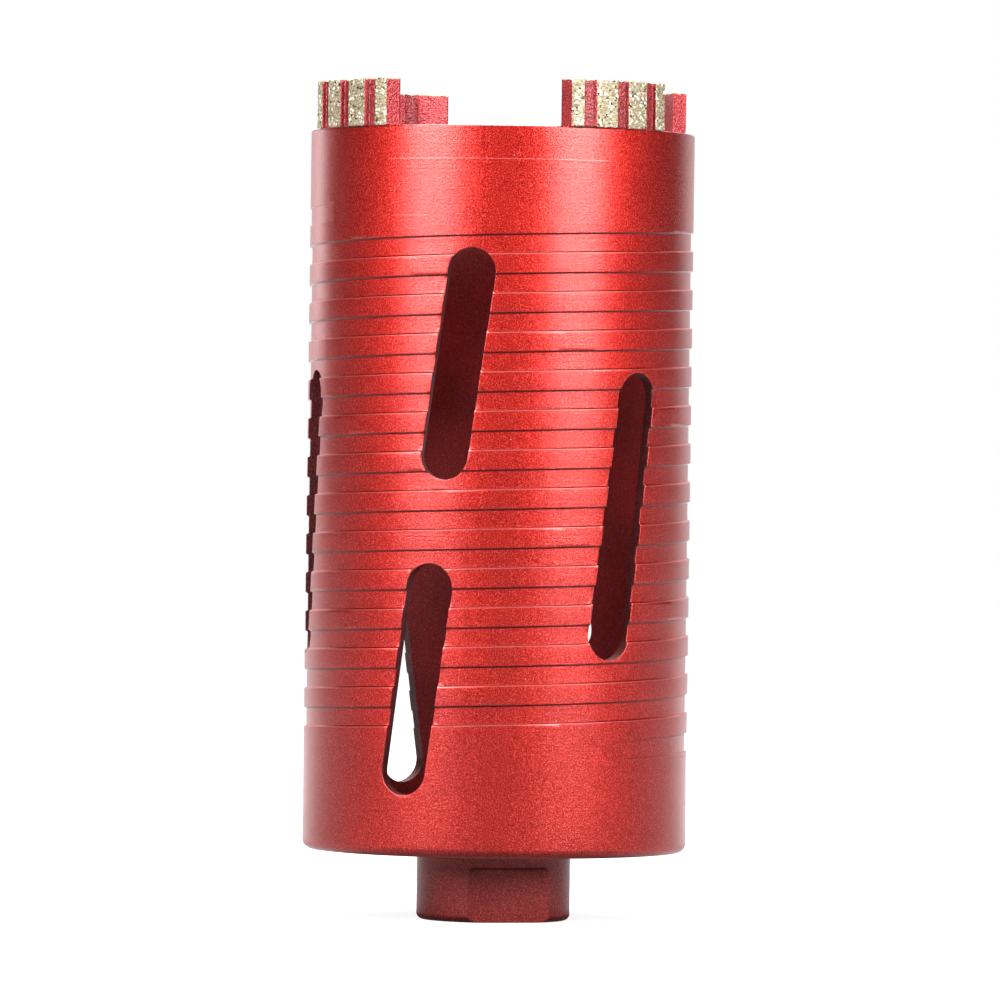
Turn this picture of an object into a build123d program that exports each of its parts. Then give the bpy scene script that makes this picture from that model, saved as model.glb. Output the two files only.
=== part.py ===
from build123d import *
from math import asin, atan, cos, degrees, radians, sin, tan
import os

# Diamond core bit for dry drilling: a slotted steel barrel with a spiral groove,
# a turned end cap with a threaded hub, and four pressed diamond segments on the rim.
# Lengths are in mm and angles in degrees.
# The bit stands on its hub. +Z runs along the axis towards the segments, and the
# origin is the centre of the hub's lower face. Angles about the axis are counted
# from the front (-Y) towards +X, and heights are counted from the barrel's foot.

# Segments
bit_d = 82.0
segment_count = 4
segment_length = 24.0
segment_thickness = 3.5
segment_height = 9.7
segment_overhang = 1.0
first_segment_angle = 37.0

# Flutes pressed into the segments' two curved faces, staggered face to face
outer_flute_count = 3
outer_flute_width = 2.8
inner_flute_width = 3.3
flute_depth = 0.9
flute_spacing = 7.8
flute_flare = 70.0

# Barrel
barrel_length = 149.4
barrel_wall = 2.5
foot_chamfer = 1.1
rim_chamfer = 0.3

# Spiral groove, whose floor climbs to the surface along a run-out at each end. Its width
# is that of the floor, and its flanks lean away from square by the flank angle.
groove_pitch = 8.0
groove_width = 3.5
groove_depth = 0.5
groove_flank = 27.0
groove_foot_band = 23.25
groove_rim_band = 18.75
groove_start_angle = 90.0
run_out_angle = 62.0

# Slots: three long ones, and between them three pairs. From the lower slot of a pair to the
# upper one is the pair's rise along the axis and its swing about it.
slot_sets = 3
slot_width = 9.8
slot_lean = 8.0
long_slot_length = 59.4
long_slot_height = 70.0
long_slot_angle = 40.3
short_slot_length = 47.7
pair_height = 68.5
pair_angle = -18.4
pair_rise = 64.5
pair_swing = 11.8

# End cap: a plate that closes the barrel's foot, and the hub below it
plate_thickness = 8.6
plate_chamfer = 0.5
hub_d = 32.0
hub_length = 14.5
hub_chamfer = 0.8
flats_across = 27.0
flats_height = 11.5
flats_angle = 13.6
flats_corner_radius = 1.0

# G 1/2 female thread, bored to its minor diameter
thread_major_d = 20.955
thread_pitch = 1.814
thread_depth_per_pitch = 0.6403
mouth_margin = 0.4

# Values that follow from the sizes above
full_turn = 360.0
bit_r = bit_d / 2
segment_inner_r = bit_r - segment_thickness
barrel_r = bit_r - segment_overhang
barrel_bore_r = barrel_r - barrel_wall
hub_r = hub_d / 2
flat_r = flats_across / 2
thread_major_r = thread_major_d / 2
thread_minor_r = thread_major_r - thread_depth_per_pitch * thread_pitch
mouth_r = thread_major_r + mouth_margin
mouth_chamfer = mouth_r - thread_minor_r
foot_z = hub_length
plate_top_z = foot_z + plate_thickness
rim_z = foot_z + barrel_length
groove_floor_r = barrel_r - groove_depth
groove_low_z = foot_z + groove_foot_band
groove_high_z = rim_z - groove_rim_band
run_out_height = groove_pitch * run_out_angle / full_turn

# How far a cutter stands out past the face it opens, and how far a run-out overshoots
clear_cut = 1.0
run_out_overshoot = 0.05


def upright_plane(angle, height=0.0):
    """A plane on the axis at this height that faces outward at this angle, with its y upward."""
    across = (cos(radians(angle)), sin(radians(angle)), 0)
    outward = (sin(radians(angle)), -cos(radians(angle)), 0)
    return Plane(origin=(0, 0, height), x_dir=across, z_dir=outward)


def groove_turn(height):
    """How far round the axis the groove goes while it climbs by this height."""
    return full_turn * height / groove_pitch


def groove_cutter(height, lift):
    """A bar swept up one stretch of helix from the +X side, its floor lifting on the way."""
    cone = degrees(atan(lift / height))
    bar_depth = groove_depth + clear_cut
    bar_width = groove_width + 2 * bar_depth * tan(radians(groove_flank))
    with BuildPart() as cutter:
        with BuildLine() as path:
            Helix(groove_pitch / cos(radians(cone)), height, groove_floor_r, cone_angle=cone)
        with BuildSketch(Plane.XZ) as section:
            with Locations((groove_floor_r + bar_depth / 2, 0)):
                Trapezoid(bar_width, bar_depth, 90 - groove_flank, rotation=90)
        sweep(sections=section.sketch, path=path.line, is_frenet=True)
    return cutter.part


def slot_outline(angle, height, length):
    """One leaning round-ended slot, drawn on the upright plane at its middle."""
    with BuildSketch(upright_plane(angle, foot_z + height)) as outline:
        SlotOverall(length, slot_width, rotation=90 - slot_lean)
    return outline.sketch


def flutes(face_r, count, width, outward):
    """A row of flared flutes in the curved face of the segment's outline at this radius."""
    depth = flute_depth + clear_cut
    mouth = width + 2 * clear_cut / tan(radians(flute_flare))
    middle_r = face_r + outward * (clear_cut - flute_depth) / 2
    for number in range(count):
        offset = flute_spacing * (number - (count - 1) / 2)
        with PolarLocations(middle_r, 1, start_angle=degrees(asin(offset / face_r))):
            Trapezoid(mouth, depth, flute_flare, rotation=outward * 90, mode=Mode.SUBTRACT)


os.makedirs("parts", exist_ok=True)

# Barrel: a tube with its outer edges broken
full_groove = groove_cutter(groove_high_z - groove_low_z, 0.0)
run_out = groove_cutter(run_out_height, groove_depth + run_out_overshoot)
start_turn = groove_start_angle - 90

with BuildPart() as barrel:
    with BuildSketch(Plane.XY.offset(foot_z)):
        Circle(barrel_r)
        Circle(barrel_bore_r, mode=Mode.SUBTRACT)
    extrude(amount=barrel_length)
    outer_edges = barrel.edges().filter_by(
        lambda edge: edge.geom_type == GeomType.CIRCLE and edge.radius > barrel_bore_r + barrel_wall / 2
    ).sort_by(Axis.Z)
    chamfer(outer_edges[0], foot_chamfer)
    chamfer(outer_edges[-1], rim_chamfer)

    # Spiral groove, then its run-outs: the lower one is the upper one turned over
    with Locations(Location((0, 0, groove_low_z), (0, 0, start_turn))):
        add(full_groove, mode=Mode.SUBTRACT)
    end_turn = start_turn + groove_turn(groove_high_z - groove_low_z)
    with Locations(
        Location((0, 0, groove_high_z), (0, 0, end_turn)),
        Location((0, 0, groove_low_z), (180, 0, start_turn)),
    ):
        add(run_out, mode=Mode.SUBTRACT)

    # Slots, each cut outward through one side of the wall
    for slot_set in range(slot_sets):
        turn = full_turn * slot_set / slot_sets
        places = [(long_slot_angle, long_slot_height, long_slot_length)]
        for side in (-0.5, 0.5):
            angle = pair_angle + side * pair_swing
            places.append((angle, pair_height + side * pair_rise, short_slot_length))
        for angle, height, length in places:
            outline = slot_outline(turn + angle, height, length)
            extrude(outline, amount=barrel_r + clear_cut, mode=Mode.SUBTRACT)
barrel.part.label = "barrel"
export_step(barrel.part, "parts/barrel.step")

# End cap: plate and hub turned in one piece, bored through, with two wrench flats
with BuildPart() as end_cap:
    with BuildSketch(Plane.XY.offset(foot_z)):
        Circle(barrel_bore_r)
    extrude(amount=plate_thickness)
    chamfer(end_cap.edges().group_by(Axis.Z)[-1], plate_chamfer)
    with BuildSketch(Plane.XY):
        Circle(hub_r)
    extrude(amount=foot_z)
    chamfer(end_cap.edges().group_by(Axis.Z)[0], hub_chamfer)
    with BuildSketch(upright_plane(flats_angle + 90)) as flats:
        with Locations((flat_r, flats_height)):
            Rectangle(hub_r, flats_height + clear_cut, align=(Align.MIN, Align.MAX))
        shoulder_corner = flats.vertices().sort_by(Axis.X)[0:2].sort_by(Axis.Y)[-1]
        fillet(shoulder_corner, flats_corner_radius)
        mirror(about=Plane.YZ)
    extrude(amount=hub_r, both=True, mode=Mode.SUBTRACT)
    Cylinder(thread_minor_r, plate_top_z, align=(Align.CENTER, Align.CENTER, Align.MIN), mode=Mode.SUBTRACT)
    bore_edges = end_cap.edges().filter_by(
        lambda edge: edge.geom_type == GeomType.CIRCLE and edge.radius < thread_major_r
    )
    chamfer(bore_edges, mouth_chamfer)
end_cap.part.label = "end_cap"
export_step(end_cap.part, "parts/end_cap.step")

# Segments: arcs of the cutting ring with parallel ends, standing on the barrel's rim
for number in range(segment_count):
    segment_angle = first_segment_angle + full_turn * number / segment_count
    with BuildPart() as segment:
        with BuildSketch(Plane.XY.offset(rim_z).rotated((0, 0, segment_angle - 90))):
            Circle(bit_r)
            Circle(segment_inner_r, mode=Mode.SUBTRACT)
            Rectangle(2 * bit_r, segment_length, align=(Align.MIN, Align.CENTER), mode=Mode.INTERSECT)
            flutes(bit_r, outer_flute_count, outer_flute_width, 1)
            flutes(segment_inner_r, outer_flute_count - 1, inner_flute_width, -1)
        extrude(amount=segment_height)
    name = f"segment_{number + 1}"
    segment.part.label = name
    export_step(segment.part, f"parts/{name}.step")
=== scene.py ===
import bpy
import bmesh
import random
from math import asin, atan2, ceil, cos, degrees, hypot, pi, radians, sin, sqrt, tan
from mathutils import Matrix, Vector, noise
from mathutils.geometry import delaunay_2d_cdt


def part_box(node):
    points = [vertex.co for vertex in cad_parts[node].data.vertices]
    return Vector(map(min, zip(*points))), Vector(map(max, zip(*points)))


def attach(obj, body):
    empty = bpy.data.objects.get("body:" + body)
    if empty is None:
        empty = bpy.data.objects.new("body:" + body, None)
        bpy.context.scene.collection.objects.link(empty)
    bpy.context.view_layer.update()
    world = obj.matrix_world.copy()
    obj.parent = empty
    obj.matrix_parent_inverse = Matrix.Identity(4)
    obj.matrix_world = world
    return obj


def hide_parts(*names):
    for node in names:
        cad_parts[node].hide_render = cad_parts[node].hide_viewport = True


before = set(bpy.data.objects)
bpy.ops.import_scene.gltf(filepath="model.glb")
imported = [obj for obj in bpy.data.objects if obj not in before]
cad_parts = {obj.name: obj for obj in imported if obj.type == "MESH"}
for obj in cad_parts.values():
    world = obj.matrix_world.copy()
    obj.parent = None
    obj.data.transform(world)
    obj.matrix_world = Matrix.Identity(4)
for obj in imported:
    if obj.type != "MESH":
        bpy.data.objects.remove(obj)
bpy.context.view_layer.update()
mm = 0.001
print("frame loaded")


def boxInMm(node):
    low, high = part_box(node)
    return [c / mm for c in low], [c / mm for c in high]


# sizes that come from the frame, in mm
barrelLow, barrelHigh = boxInMm("barrel")
capLow, capHigh = boxInMm("end_cap")
footHeight = barrelLow[2]
rimHeight = barrelHigh[2]
outerRadius = (barrelHigh[0] - barrelLow[0]) / 2
boreRadius = (capHigh[0] - capLow[0]) / 2  # the end cap's plate fills the bore
plateTop = capHigh[2]
cuttingHeight = boxInMm("segment_1")[1][2]


def around(angle, radius, height):  # degrees from the front, mm in, metres out
    a = radians(angle)
    return Vector((radius * sin(a), -radius * cos(a), height)) * mm


def addPiece(name, points, faces):
    mesh = bpy.data.meshes.new(name)
    mesh.from_pydata(points, [], faces)
    obj = bpy.data.objects.new(name, mesh)
    bpy.context.scene.collection.objects.link(obj)
    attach(obj, "root")
    return obj


def weldAndShade(obj, sharpAngle, weld=0.002):  # degrees, and mm
    bm = bmesh.new()
    bm.from_mesh(obj.data)
    bmesh.ops.remove_doubles(bm, verts=bm.verts, dist=weld * mm)
    bmesh.ops.dissolve_degenerate(bm, edges=bm.edges, dist=weld * mm / 4)
    bmesh.ops.recalc_face_normals(bm, faces=bm.faces)
    bm.to_mesh(obj.data)
    bm.free()
    obj.data.shade_smooth()
    obj.data.set_sharp_from_angle(angle=radians(sharpAngle))


def shadeByArea(obj):  # large faces keep their own direction, and the small ones between them turn
    lean = obj.modifiers.new("weighted_normals", "WEIGHTED_NORMAL")
    lean.mode = "FACE_AREA"
    lean.weight = 50
    lean.thresh = 0.01
    lean.keep_sharp = True


# Barrel: a turned tube with its spiral groove and slots. Heights here are above its foot.
barrelSet = {
    "columns": 288,          # points round the tube
    "seamAngle": 133.3,      # where the unrolled sheet is cut, clear of every slot
    "rowStep": 2.5,          # between the rows of points on the plain face
    "boreRows": 24,
    "footRound": 1.9,
    "rimRound": 0.35,
    "groovePitch": 8.0,
    "grooveFloor": 3.5,
    "grooveDepth": 0.5,
    "grooveFlank": 27.0,
    "grooveLow": 23.25,      # full-depth ends
    "grooveHigh": 130.65,
    "grooveStart": 90.0,
    "grooveReach": 2.5,      # from its middle to where the plain rows begin
    "leastGroove": 0.03,     # a run-out shallower than this has no lines of its own
    "runOut": 62.0,
    "slotWidth": 9.8,
    "slotLean": 8.0,
    "longSlot": (40.3, 70.0, 59.4),        # angle, height of its middle, length
    "shortSlots": (-18.4, 68.5, 47.7),
    "pairSwing": 11.8,
    "pairRise": 64.5,
    "slotSets": 3,
    "slotEdge": 0.16,        # radius that the tumbled slot edges have
    "slotArc": 24,           # steps round a slot's end
    "slotStep": 0.8,         # along its straight sides
    "slotClear": 0.4,
    "wallRings": 3,
}
barrelLength = rimHeight - footHeight
grooveTurns = (barrelSet["grooveHigh"] - barrelSet["grooveLow"]) / barrelSet["groovePitch"] * 360
flankSlope = tan(radians(barrelSet["grooveFlank"]))


def softStep(x, corner=0.16):  # a straight ramp from 0 to 1 with both corners rounded
    if x <= -corner:
        return 0.0
    if x < corner:
        return (x + corner) ** 2 / (4 * corner)
    if x <= 1 - corner:
        return x
    if x < 1 + corner:
        return 1 - (1 + corner - x) ** 2 / (4 * corner)
    return 1.0


def edgeDrop(distance, size):  # how far a rounded edge has dropped at this distance from its end
    if distance >= size:
        return 0.0
    return size - sqrt(max(size ** 2 - (size - distance) ** 2, 0.0))


def grooveFloorDepth(turn):  # depth of the groove's floor this far along the helix
    beyond = max(-turn, turn - grooveTurns, 0.0)
    return barrelSet["grooveDepth"] * (1 - beyond / barrelSet["runOut"])


def grooveAt(angle, height):  # how far along the helix, and how far above its middle, a point lies
    s = barrelSet
    turn = (angle - s["grooveStart"]) % 360
    turn += 360 * round((height - s["grooveLow"]) / s["groovePitch"] - turn / 360)
    return turn, height - s["grooveLow"] - s["groovePitch"] * turn / 360


def grooveDepthAt(angle, height):
    turn, above = grooveAt(angle, height)
    deep = grooveFloorDepth(turn)
    if deep <= 0:
        return 0.0
    return deep * softStep(1 - (abs(above) - barrelSet["grooveFloor"] / 2) / (flankSlope * deep))


def grooveClear(angle, height):  # true where a plain row isn't near the groove's own lines
    turn, above = grooveAt(angle, height)
    return grooveFloorDepth(turn) <= 0 or abs(above) > barrelSet["grooveReach"]


def slotPlaces():  # angle, height and length of each slot
    s = barrelSet
    places = []
    for number in range(s["slotSets"]):
        turn = 360 / s["slotSets"] * number
        places.append((s["longSlot"][0] + turn, s["longSlot"][1], s["longSlot"][2]))
        for side in (-0.5, 0.5):
            angle = s["shortSlots"][0] + side * s["pairSwing"] + turn
            places.append((angle, s["shortSlots"][1] + side * s["pairRise"], s["shortSlots"][2]))
    return places


slots = slotPlaces()


def leanSlot(x, y, way):
    lean = way * radians(barrelSet["slotLean"])
    return x * cos(lean) + y * sin(lean), y * cos(lean) - x * sin(lean)


def slotLoop(length, grow):  # the outline on the slot's own flat plane
    s = barrelSet
    radius = s["slotWidth"] / 2 + grow
    half = (length - s["slotWidth"]) / 2
    steps = int(2 * half / s["slotStep"])
    loop = []
    for start, side in ((0, 1), (pi, -1)):
        turns = [start + pi * i / s["slotArc"] for i in range(s["slotArc"] + 1)]
        loop += [(radius * cos(turn), side * half + radius * sin(turn)) for turn in turns]
        loop += [(-side * radius, side * half * (1 - 2 * i / steps)) for i in range(1, steps)]
    return [leanSlot(x, y, 1) for x, y in loop]


def beyondSlot(x, y, length):  # distance outside a slot's outline, negative inside
    x, y = leanSlot(x, y, -1)
    half = (length - barrelSet["slotWidth"]) / 2
    return hypot(x, max(abs(y) - half, 0.0)) - barrelSet["slotWidth"] / 2


def nearestSlot(angle, height, radius):  # distance beyond the nearest slot's outline, and that slot
    best = (99.0, None)
    for place in slots:
        off = (angle - place[0] + 180) % 360 - 180
        if abs(off) < 40 and abs(height - place[1]) < place[2]:
            away = beyondSlot(radius * sin(radians(off)), height - place[1], place[2])
            best = min(best, (away, place))
    return best


class Sheet:  # points and lines of one unrolled cylinder, which is then cut into triangles
    def __init__(self, radius):
        self.radius = radius
        self.points = []
        self.lines = []
        self.rims = set()  # numbers of the lines that bound a slot

    def add(self, angle, height):
        return self.addUnrolled((angle - barrelSet["seamAngle"]) % 360, height)

    def addUnrolled(self, turn, height):  # degrees from the seam
        self.points.append(Vector((radians(turn) * self.radius, height)))
        return len(self.points) - 1

    def join(self, a, b, bounds=False):
        if bounds:
            self.rims.add(len(self.lines))
        self.lines.append((a, b))

    def triangles(self):  # places, the triangles outside the slots, and the edges along the slots
        points, edges, faces, _, origins, _ = delaunay_2d_cdt(self.points, self.lines, [], 0, 1e-6, True)
        barred = {frozenset(e) for e, origin in zip(edges, origins) if not self.rims.isdisjoint(origin)}
        beside = {}
        for number, face in enumerate(faces):
            for i in range(3):
                beside.setdefault(frozenset((face[i - 1], face[i])), []).append(number)
        lowest = min(range(len(points)), key=lambda i: points[i].y)
        waiting = [next(number for number, face in enumerate(faces) if lowest in face)]
        kept = set(waiting)
        while waiting:
            face = faces[waiting.pop()]
            for i in range(3):
                edge = frozenset((face[i - 1], face[i]))
                found = [] if edge in barred else [n for n in beside[edge] if n not in kept]
                kept.update(found)
                waiting += found
        places = [(degrees(p.x / self.radius) + barrelSet["seamAngle"], p.y) for p in points]
        return places, [tuple(faces[number]) for number in sorted(kept)], barred


def addGrooveLines(sheet):  # lines along the helix, from the land down each flank to the floor
    s = barrelSet
    step = 360 / s["columns"]
    firstTurn = (s["seamAngle"] - s["grooveStart"]) % 360 - 360
    for wrap in range(ceil(grooveTurns / 360) + 3):
        for side in (-1, 1):
            for share in (-0.18, 0.0, 0.2, 0.8, 1.0, 1.18):
                last = None
                for column in range(s["columns"] + 1):
                    turn = firstTurn + 360 * wrap + column * step
                    deep = grooveFloorDepth(turn)
                    if deep < s["leastGroove"]:
                        last = None
                        continue
                    across = s["grooveFloor"] / 2 + (1 - share) * flankSlope * deep
                    height = s["grooveLow"] + s["groovePitch"] * turn / 360 + side * across
                    point = sheet.addUnrolled(column * step, height)
                    if last is not None:
                        sheet.join(last, point)
                    last = point


def addPlainRows(sheet):
    s = barrelSet
    step = 360 / s["columns"]
    rows = [s["footRound"] * (1 - cos(radians(90 * i / 8))) for i in range(9)]
    rows += [barrelLength - s["rimRound"] * (1 - cos(radians(90 * i / 4))) for i in range(5)]
    rows += [s["footRound"] + s["rowStep"] * i for i in range(1, ceil(barrelLength / s["rowStep"]) - 1)]
    for row in rows:
        for column in range(s["columns"] + 1):
            if grooveClear(s["seamAngle"] + column * step, row):
                sheet.addUnrolled(column * step, row)


def outerSheet():
    s = barrelSet
    sheet = Sheet(outerRadius)
    addGrooveLines(sheet)
    addPlainRows(sheet)
    for angle, middle, length in slots:
        for grow in (0.0, s["slotEdge"] * 0.12, s["slotEdge"] * 0.45, s["slotEdge"]):
            loop = []
            for x, y in slotLoop(length, grow):
                loop.append(sheet.add(angle + degrees(asin(x / outerRadius)), middle + y))
            for a, b in zip(loop, loop[1:] + loop[:1]):
                sheet.join(a, b, grow == 0.0)
    return sheet.triangles()


def outerPoint(angle, height):
    s = barrelSet
    away = nearestSlot(angle, height, outerRadius)[0]
    drop = edgeDrop(height, s["footRound"]) + edgeDrop(barrelLength - height, s["rimRound"])
    drop += grooveDepthAt(angle, height) + edgeDrop(max(away, 0.0), s["slotEdge"])
    return around(angle, outerRadius - drop, footHeight + height)


def addSlotWalls(places, slotEdges, points, faces):  # each follows its slot's own direction inward
    s = barrelSet
    inner = Sheet(boreRadius)
    innerIds = {}
    ringIds = {}
    for a, b in sorted(tuple(edge) for edge in slotEdges):
        slot = nearestSlot(places[a][0], places[a][1], outerRadius)[1]
        for vertex in (a, b):
            if vertex in innerIds:
                continue
            angle, height = places[vertex]
            off = (angle - slot[0] + 180) % 360 - 180
            innerAngle = slot[0] + degrees(asin(outerRadius * sin(radians(off)) / boreRadius))
            innerIds[vertex] = inner.add(innerAngle, height)
            far = around(innerAngle, boreRadius, footHeight + height)
            ring = [vertex]
            for k in range(1, s["wallRings"] + 1):
                points.append(points[vertex].lerp(far, k / s["wallRings"]))
                ring.append(len(points) - 1)
            ringIds[vertex] = ring
        inner.join(innerIds[a], innerIds[b], True)
        for k in range(s["wallRings"]):
            faces.append((ringIds[b][k], ringIds[a][k], ringIds[a][k + 1], ringIds[b][k + 1]))
    return inner


def addBore(inner, points, faces):
    s = barrelSet
    step = 360 / s["columns"]
    for row in range(s["boreRows"] + 1):
        height = barrelLength * row / s["boreRows"]
        for column in range(s["columns"] + 1):
            angle = s["seamAngle"] + column * step
            if nearestSlot(angle, height, boreRadius)[0] > s["slotClear"]:
                inner.addUnrolled(column * step, height)
    places, found, _ = inner.triangles()
    base = len(points)
    points += [around(angle, boreRadius, footHeight + height) for angle, height in places]
    faces += [tuple(base + i for i in reversed(face)) for face in found]


def addEndRing(height, outer, points, faces):  # the flat that closes the wall at the foot or the rim
    s = barrelSet
    base = len(points)
    for column in range(s["columns"]):
        angle = s["seamAngle"] + column * 360 / s["columns"]
        points += [around(angle, radius, footHeight + height) for radius in (outer, boreRadius)]
    for column in range(s["columns"]):
        a, b = base + 2 * column, base + 2 * ((column + 1) % s["columns"])
        faces.append((a, b, b + 1, a + 1))


def buildBarrel():
    places, faces, slotEdges = outerSheet()
    points = [outerPoint(angle, height) for angle, height in places]
    inner = addSlotWalls(places, slotEdges, points, faces)
    addBore(inner, points, faces)
    addEndRing(0.0, outerRadius - barrelSet["footRound"], points, faces)
    addEndRing(barrelLength, outerRadius - barrelSet["rimRound"], points, faces)
    barrel = addPiece("grooved_barrel", points, faces)
    weldAndShade(barrel, 42)
    shadeByArea(barrel)
    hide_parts("barrel")
    return barrel


barrel = buildBarrel()
print("barrel built:", len(barrel.data.vertices), "vertices")


# End cap: plate and hub turned in one piece, with a real internal thread
capSet = {
    "columns": 192,
    "plateChamfer": 0.5,
    "hubRadius": 16.0,
    "hubRound": 1.3,
    "rootRound": 0.25,
    "flatsAcross": 27.0,
    "flatsHeight": 11.5,
    "flatsAngle": 13.6,
    "flatsCorner": 1.0,
    "threadMajor": 20.955,   # G 1/2
    "threadPitch": 1.814,
    "threadDepth": 1.1615,
    "mouthMargin": 0.4,
    "rowsPerThread": 12,
}


def arcPoints(centre, radius, first, last, steps):
    turns = [radians(first + (last - first) * i / steps) for i in range(steps + 1)]
    return [(centre[0] + radius * cos(turn), centre[1] + radius * sin(turn)) for turn in turns]


def capOutline():  # radius and height, from the lower mouth round the outside to the upper mouth
    s = capSet
    hub, bend, root, edge = s["hubRadius"], s["hubRound"], s["rootRound"], s["plateChamfer"]
    mouth = s["threadMajor"] / 2 + s["mouthMargin"]
    outline = [(mouth, 0.0), (mouth + 0.3, 0.0), (hub - bend - 0.4, 0.0)]
    outline += arcPoints((hub - bend, bend), bend, -90, 0, 8)
    outline += [(hub, bend + 0.4)] + [(hub, footHeight * i / 8) for i in range(2, 8)]
    outline += arcPoints((hub + root, footHeight - root), root, 180, 90, 4)
    outline += [(hub + 6, footHeight), (boreRadius - 3, footHeight), (boreRadius, footHeight)]
    outline += [(boreRadius, plateTop - edge), (boreRadius - edge, plateTop), (boreRadius - 3, plateTop)]
    return outline + [(mouth + 6, plateTop), (mouth + 0.3, plateTop), (mouth, plateTop)]


def threadRadius(angle, height):
    s = capSet
    major = s["threadMajor"] / 2
    wave = 0.5 + 0.5 * cos(2 * pi * (height / s["threadPitch"] - angle / 360))
    cone = major + s["mouthMargin"] - min(height, plateTop - height)
    return max(major - s["threadDepth"] * (1 - wave), cone)


def flatCutter(turned):  # the block that a wrench flat's mill takes away, at this angle
    s = capSet
    flat, corner, high = s["flatsAcross"] / 2, s["flatsCorner"], s["flatsHeight"]
    low, far, reach = -2.0, s["hubRadius"] + 4, s["hubRadius"] + 2
    outline = [(flat, low)] + arcPoints((flat + corner, high - corner), corner, 180, 90, 6)
    outline += [(far, high), (far, low)]
    turn = Matrix.Rotation(radians(s["flatsAngle"] - 90 + turned), 3, "Z")
    points = [turn @ Vector((x, y, z)) * mm for y in (-reach, reach) for x, z in outline]
    count = len(outline)
    faces = [tuple(range(count)), tuple(reversed(range(count, 2 * count)))]
    for i in range(count):
        after = (i + 1) % count
        faces.append((after, i, i + count, after + count))
    mesh = bpy.data.meshes.new("flat_cutter")
    mesh.from_pydata(points, [], faces)
    cutter = bpy.data.objects.new("flat_cutter", mesh)
    bpy.context.scene.collection.objects.link(cutter)
    weldAndShade(cutter, 30)
    return cutter


def millFlats(cap):
    cutters = [flatCutter(turned) for turned in (0, 180)]
    for cutter in cutters:
        cut = cap.modifiers.new("flat", "BOOLEAN")
        cut.operation = "DIFFERENCE"
        cut.solver = "EXACT"
        cut.object = cutter
    graph = bpy.context.evaluated_depsgraph_get()
    cap.data = bpy.data.meshes.new_from_object(cap.evaluated_get(graph))
    cap.modifiers.clear()
    for cutter in cutters:
        bpy.data.objects.remove(cutter)


def buildEndCap():
    s = capSet
    outline = capOutline()
    rows = ceil(plateTop / s["threadPitch"] * s["rowsPerThread"])
    count = s["columns"]
    angles = [360 * i / count for i in range(count)]
    points = []
    for radius, height in outline:
        points += [around(angle, radius, height) for angle in angles]
    for row in range(1, rows):
        height = plateTop * (1 - row / rows)
        points += [around(angle, threadRadius(angle, height), height) for angle in angles]
    rings = len(outline) + rows - 1
    faces = []
    for ring in range(rings):
        below, above = ring * count, (ring + 1) % rings * count
        for i in range(count):
            after = (i + 1) % count
            faces.append((below + i, below + after, above + after, above + i))
    cap = addPiece("threaded_end_cap", points, faces)
    weldAndShade(cap, 30)
    millFlats(cap)
    weldAndShade(cap, 30, 0.001)
    shadeByArea(cap)
    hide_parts("end_cap")
    return cap


endCap = buildEndCap()
print("end cap built:", len(endCap.data.vertices), "vertices")


# Diamond segments: sintered blocks with flutes, and grit standing out of their ribs
segmentSet = {
    "count": 4,
    "firstAngle": 37.0,
    "outer": 41.0,
    "thickness": 3.5,
    "length": 24.0,
    "outerFlutes": 3,
    "outerFluteWidth": 2.8,
    "innerFlutes": 2,
    "innerFluteWidth": 3.3,
    "fluteDepth": 0.9,
    "fluteSpacing": 7.8,
    "fluteFlare": 70.0,
    "step": 0.3,             # spacing of the mesh's points
    "seed": 41,
    "pits": 0.16,            # how deep the ribs' worn face is broken up
    "smoothShare": 0.45,     # how much of that the flutes, the ends and the inside have
    "lumps": (0.55, 1.5),    # the sizes of small and large lumps
    "sideLumps": (0.6, 0.4), # how much of each the sides have, and the top
    "topLumps": (0.7, 0.5),
    "edgeWear": 0.35,        # how far down the cutting edge is worn round, in lumps of this size
    "edgeLump": 0.8,
    "rubbed": 0.7,           # height over which the lacquer goes from whole to rubbed off
    "grit": 0.34,            # size of a diamond, 40/50 mesh drawn a little coarse to show
    "gritPerSegment": 260,
    "gritSizes": (0.6, 1.25),    # its smallest and largest crystals, as a share of that size
    "gritCorners": (0.75, 1.05), # how unevenly a crystal's corners stand out
    "gritClear": (0.2, 0.25),    # how far the crystals keep from the foot and the top
}
segmentHeight = cuttingHeight - rimHeight
segmentRows = ceil(segmentHeight / segmentSet["step"])
crystalCorners = ((1, 0, 0), (-1, 0, 0), (0, 1, 0), (0, -1, 0), (0, 0, 1), (0, 0, -1))
crystalFaces = ((0, 2, 4), (2, 1, 4), (1, 3, 4), (3, 0, 4), (2, 0, 5), (1, 2, 5), (3, 1, 5), (0, 3, 5))


def faceLine(side, radius, flutes, width):  # a curved face with its flutes, side 1 outer and -1 inner
    s = segmentSet
    half, deep = s["length"] / 2, s["fluteDepth"]
    foot = deep / tan(radians(s["fluteFlare"]))
    edge = [(-half, 0.0)]
    for number in range(flutes):
        middle = s["fluteSpacing"] * (number - (flutes - 1) / 2)
        left, right = middle - width / 2, middle + width / 2
        edge += [(left, 0.0), (left + foot, deep), (right - foot, deep), (right, 0.0)]
    edge.append((half, 0.0))
    line = []
    for (y0, d0), (y1, d1) in zip(edge, edge[1:]):
        steps = max(1, round(hypot(y1 - y0, d1 - d0) / s["step"]))
        for i in range(steps):
            t = i / steps
            line.append((y0 + (y1 - y0) * t, d0 + (d1 - d0) * t, "rib" if d0 == d1 == 0 else "flute"))
    line.append((half, 0.0, "rib"))
    line = [(sqrt(radius ** 2 - y * y) - side * d, y, kind if side > 0 else "inner") for y, d, kind in line]
    return line[::side]


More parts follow.
